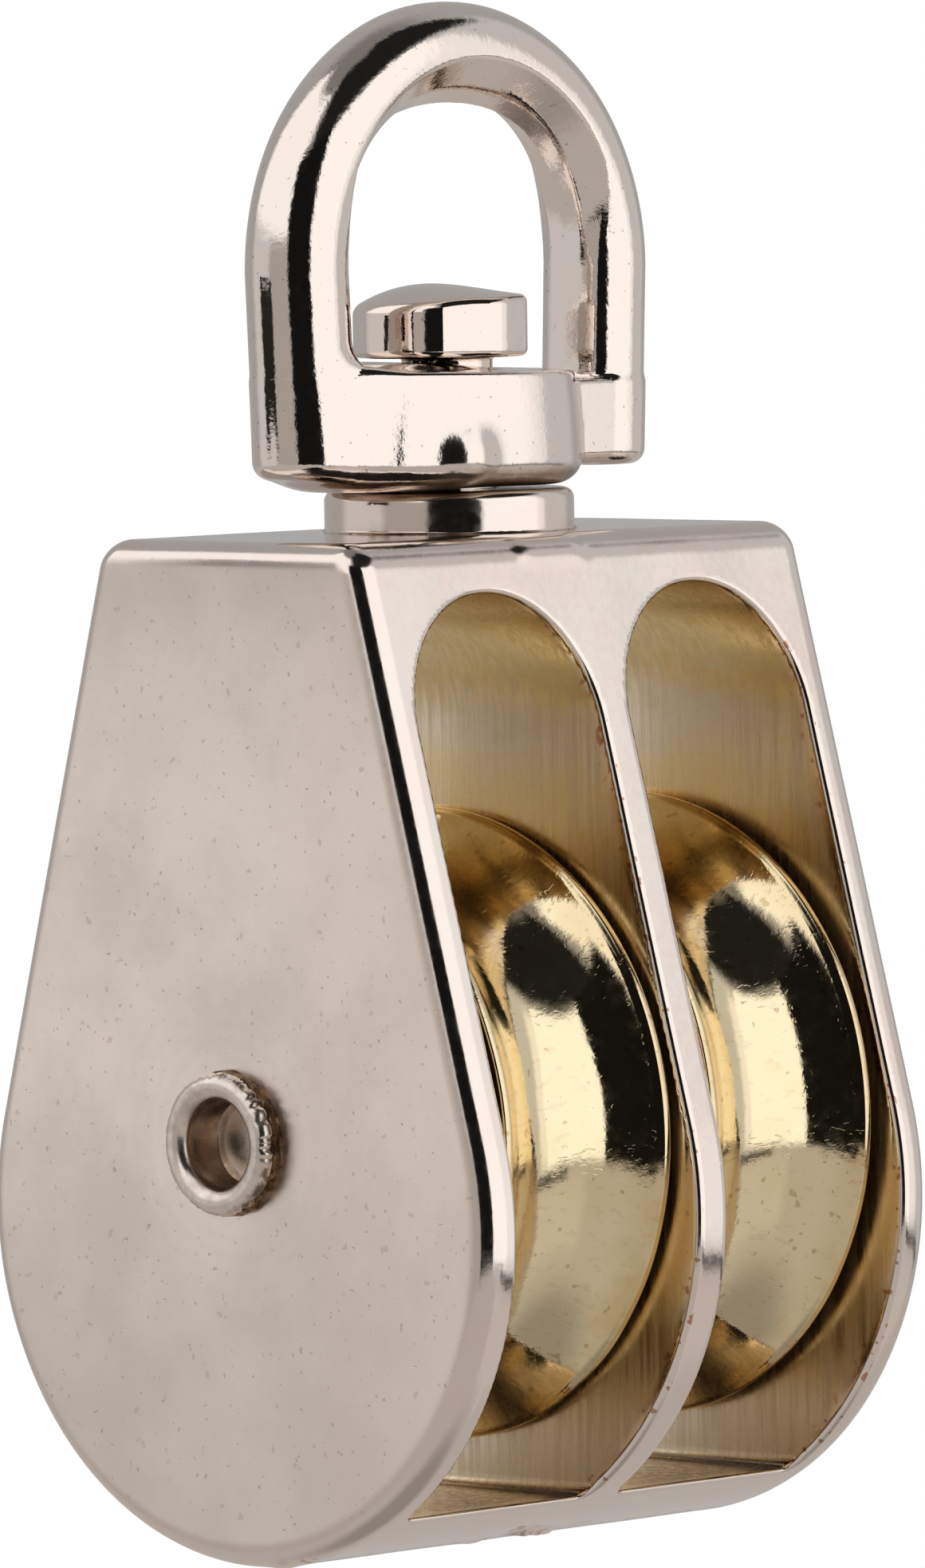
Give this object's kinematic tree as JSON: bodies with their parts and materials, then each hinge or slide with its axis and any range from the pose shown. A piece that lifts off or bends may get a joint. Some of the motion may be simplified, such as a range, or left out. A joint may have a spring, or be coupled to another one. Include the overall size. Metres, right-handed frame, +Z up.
{
  "type": "double sheave block",
  "caption": "Double-sheave rope block: die-cast housing with arched windows, grooved brass sheaves on a rivet axle and a D-shaped swivel eye.",
  "frame": {"origin": "where a hook bears inside the eye: the top of the eye's opening, on the swivel axis", "axes": "+Z up along the swivel axis, X along the sheave axle, -Y the front that both windows face"},
  "size_m": [0.0276, 0.0272, 0.0608],
  "materials": {
    "nickel_cast": "polished nickel plate over zinc die casting",
    "nickel_eye": "polished nickel plate over zinc die casting",
    "nickel_stud": "polished nickel plate",
    "brass_sheave": "polished",
    "rivet_steel": "dull nickel plate",
    "washer_metal": "tarnished"
  },
  "bodies": {
    "eye": {"swivel_eye": "nickel_eye"},
    "block": {"housing": "nickel_cast", "swivel_stud": "nickel_stud", "axle_rivet": "rivet_steel", "rivet_washer": "washer_metal"},
    "sheave_left": {"sheave_left": "brass_sheave"},
    "sheave_right": {"sheave_right": "brass_sheave"}
  },
  "joints": [
    {"name": "swivel", "type": "hinge", "parent": "eye", "child": "block", "pos_m": [0, 0, 0], "axis": [0, 0, 1], "continuous": true},
    {"name": "sheave_left_spin", "type": "hinge", "parent": "block", "child": "sheave_left", "pos_m": [0, 0, -0.04006], "axis": [1, 0, 0], "continuous": true},
    {"name": "sheave_right_spin", "type": "hinge", "parent": "block", "child": "sheave_right", "pos_m": [0, 0, -0.04006], "axis": [1, 0, 0], "continuous": true}
  ]
}
